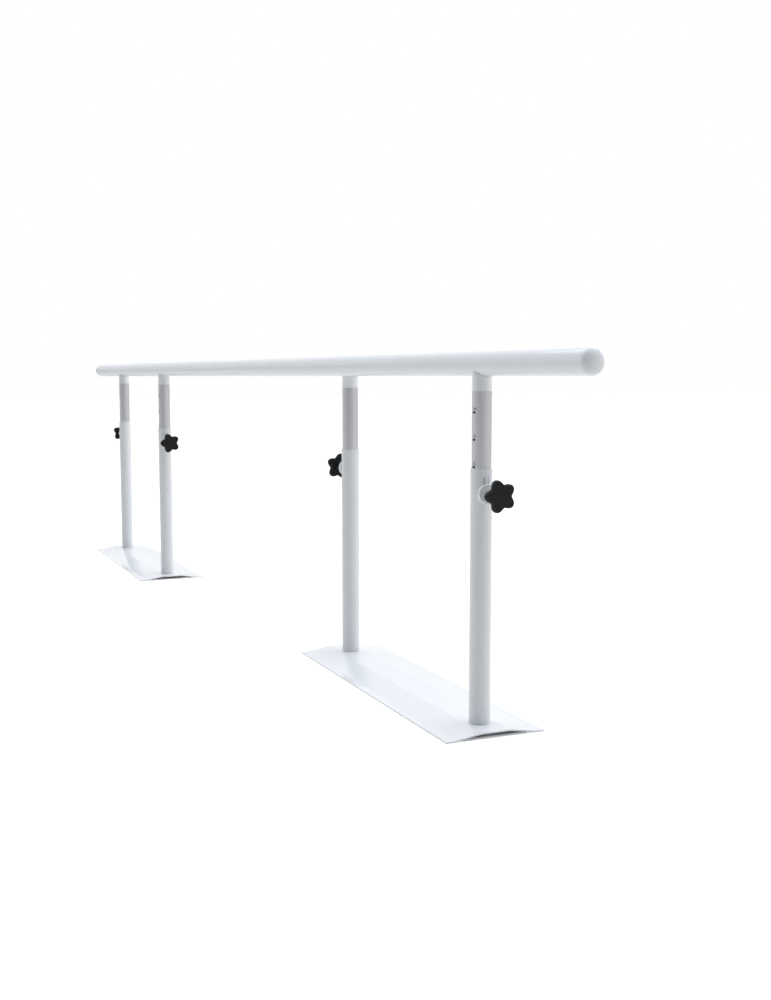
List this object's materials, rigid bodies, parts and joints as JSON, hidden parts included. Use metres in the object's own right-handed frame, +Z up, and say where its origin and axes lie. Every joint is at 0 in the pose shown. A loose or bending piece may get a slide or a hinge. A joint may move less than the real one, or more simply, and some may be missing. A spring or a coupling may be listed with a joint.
{
  "type": "walking parallel bars",
  "caption": "Folding walking parallel bars: two height-adjustable handrails on flat steel bases, clamped with star knobs and shown folded side by side.",
  "frame": {"origin": "centre of the folded set's footprint box, on the floor", "axes": "+X along the rails towards the near base, +Y across the rails towards the rear rail, +Z up"},
  "size_m": [3.7008, 0.2898, 0.7905],
  "materials": {
    "white_powder_coat": "glossy white powder coat",
    "satin_steel": "satin tube",
    "dark_steel": "plain grey steel",
    "black_plastic": "matte moulded plastic",
    "grey_plastic": "moulded bearing plastic",
    "white_plastic": "moulded white plastic"
  },
  "bodies": {
    "base_near": {"base_top_sheet_near": "white_powder_coat", "base_bottom_plate_near": "white_powder_coat", "outer_tube_near_front": "white_powder_coat", "foot_plug_near_front": "dark_steel", "foot_screw_near_front": "dark_steel", "clamp_boss_near_front": "white_powder_coat", "threaded_insert_near_front": "dark_steel", "outer_tube_near_rear": "white_powder_coat", "foot_plug_near_rear": "dark_steel", "foot_screw_near_rear": "dark_steel", "clamp_boss_near_rear": "white_powder_coat", "threaded_insert_near_rear": "dark_steel"},
    "base_far": {"base_top_sheet_far": "white_powder_coat", "base_bottom_plate_far": "white_powder_coat", "outer_tube_far_front": "white_powder_coat", "foot_plug_far_front": "dark_steel", "foot_screw_far_front": "dark_steel", "clamp_boss_far_front": "white_powder_coat", "threaded_insert_far_front": "dark_steel", "outer_tube_far_rear": "white_powder_coat", "foot_plug_far_rear": "dark_steel", "foot_screw_far_rear": "dark_steel", "clamp_boss_far_rear": "white_powder_coat", "threaded_insert_far_rear": "dark_steel"},
    "guides_front": {"guide_bush_near_front": "grey_plastic", "guide_bush_far_front": "grey_plastic"},
    "guides_rear": {"guide_bush_near_rear": "grey_plastic", "guide_bush_far_rear": "grey_plastic"},
    "rail_assembly_front": {"rail_front": "white_powder_coat", "rail_cap_near_front": "white_plastic", "rail_cap_far_front": "white_plastic", "rail_stub_near_front": "white_powder_coat", "rail_stub_far_front": "white_powder_coat", "inner_tube_near_front": "satin_steel", "inner_tube_far_front": "satin_steel", "glide_plug_near_front": "black_plastic", "glide_plug_far_front": "black_plastic"},
    "rail_assembly_rear": {"rail_rear": "white_powder_coat", "rail_cap_near_rear": "white_plastic", "rail_cap_far_rear": "white_plastic", "rail_stub_near_rear": "white_powder_coat", "rail_stub_far_rear": "white_powder_coat", "inner_tube_near_rear": "satin_steel", "inner_tube_far_rear": "satin_steel", "glide_plug_near_rear": "black_plastic", "glide_plug_far_rear": "black_plastic"},
    "pad_near_front": {"thrust_pad_near_front": "dark_steel"},
    "pad_near_rear": {"thrust_pad_near_rear": "dark_steel"},
    "pad_far_front": {"thrust_pad_far_front": "dark_steel"},
    "pad_far_rear": {"thrust_pad_far_rear": "dark_steel"},
    "knob_near_front": {"star_knob_near_front": "black_plastic", "threaded_stud_near_front": "satin_steel"},
    "knob_near_rear": {"star_knob_near_rear": "black_plastic", "threaded_stud_near_rear": "satin_steel"},
    "knob_far_front": {"star_knob_far_front": "black_plastic", "threaded_stud_far_front": "satin_steel"},
    "knob_far_rear": {"star_knob_far_rear": "black_plastic", "threaded_stud_far_rear": "satin_steel"}
  },
  "joints": [
    {"name": "fold", "type": "hinge", "parent": "base_near", "child": "guides_front", "pos_m": [1.46708, -0.026, 0.5], "axis": [0, 0, 1], "range_deg": [0, 85.95]},
    {"name": "fold_rear", "type": "hinge", "parent": "base_near", "child": "guides_rear", "pos_m": [0.73292, 0.026, 0.5], "axis": [0, 0, 1], "range_deg": [0, 85.95]},
    {"name": "fold_far", "type": "hinge", "parent": "guides_front", "child": "base_far", "pos_m": [-0.73292, -0.026, 0.5], "axis": [0, 0, 1], "range_deg": [-85.95, 0]},
    {"name": "lift_front", "type": "slide", "parent": "guides_front", "child": "rail_assembly_front", "axis": [0, 0, 1], "range_m": [-0.168, 0.168]},
    {"name": "lift_rear", "type": "slide", "parent": "guides_rear", "child": "rail_assembly_rear", "axis": [0, 0, 1], "range_m": [-0.168, 0.168]},
    {"name": "pad_slide_near_front", "type": "slide", "parent": "base_near", "child": "pad_near_front", "axis": [0.9975, -0.0707, 0], "range_m": [0, 0.003]},
    {"name": "knob_turn_near_front", "type": "hinge", "parent": "pad_near_front", "child": "knob_near_front", "pos_m": [1.54937, -0.03183, 0.4986], "axis": [0.9975, -0.0707, 0], "range_deg": [0, 720]},
    {"name": "pad_slide_near_rear", "type": "slide", "parent": "base_near", "child": "pad_near_rear", "axis": [-0.9975, 0.0707, 0], "range_m": [0, 0.003]},
    {"name": "knob_turn_near_rear", "type": "hinge", "parent": "pad_near_rear", "child": "knob_near_rear", "pos_m": [0.65063, 0.03183, 0.4986], "axis": [-0.9975, 0.0707, 0], "range_deg": [0, 720]},
    {"name": "pad_slide_far_front", "type": "slide", "parent": "base_far", "child": "pad_far_front", "axis": [0.9975, -0.0707, 0], "range_m": [0, 0.003]},
    {"name": "knob_turn_far_front", "type": "hinge", "parent": "pad_far_front", "child": "knob_far_front", "pos_m": [-0.65063, -0.03183, 0.4986], "axis": [0.9975, -0.0707, 0], "range_deg": [0, 720]},
    {"name": "pad_slide_far_rear", "type": "slide", "parent": "base_far", "child": "pad_far_rear", "axis": [-0.9975, 0.0707, 0], "range_m": [0, 0.003]},
    {"name": "knob_turn_far_rear", "type": "hinge", "parent": "pad_far_rear", "child": "knob_far_rear", "pos_m": [-1.54937, 0.03183, 0.4986], "axis": [-0.9975, 0.0707, 0], "range_deg": [0, 720]}
  ],
  "couplings": [
    {"joint": "fold_rear", "follows": "fold", "ratio": 1},
    {"joint": "fold_far", "follows": "fold", "ratio": -1},
    {"joint": "pad_slide_near_front", "follows": "knob_turn_near_front", "m_per_rad": 0.00023873},
    {"joint": "pad_slide_near_rear", "follows": "knob_turn_near_rear", "m_per_rad": 0.00023873},
    {"joint": "pad_slide_far_front", "follows": "knob_turn_far_front", "m_per_rad": 0.00023873},
    {"joint": "pad_slide_far_rear", "follows": "knob_turn_far_rear", "m_per_rad": 0.00023873}
  ]
}
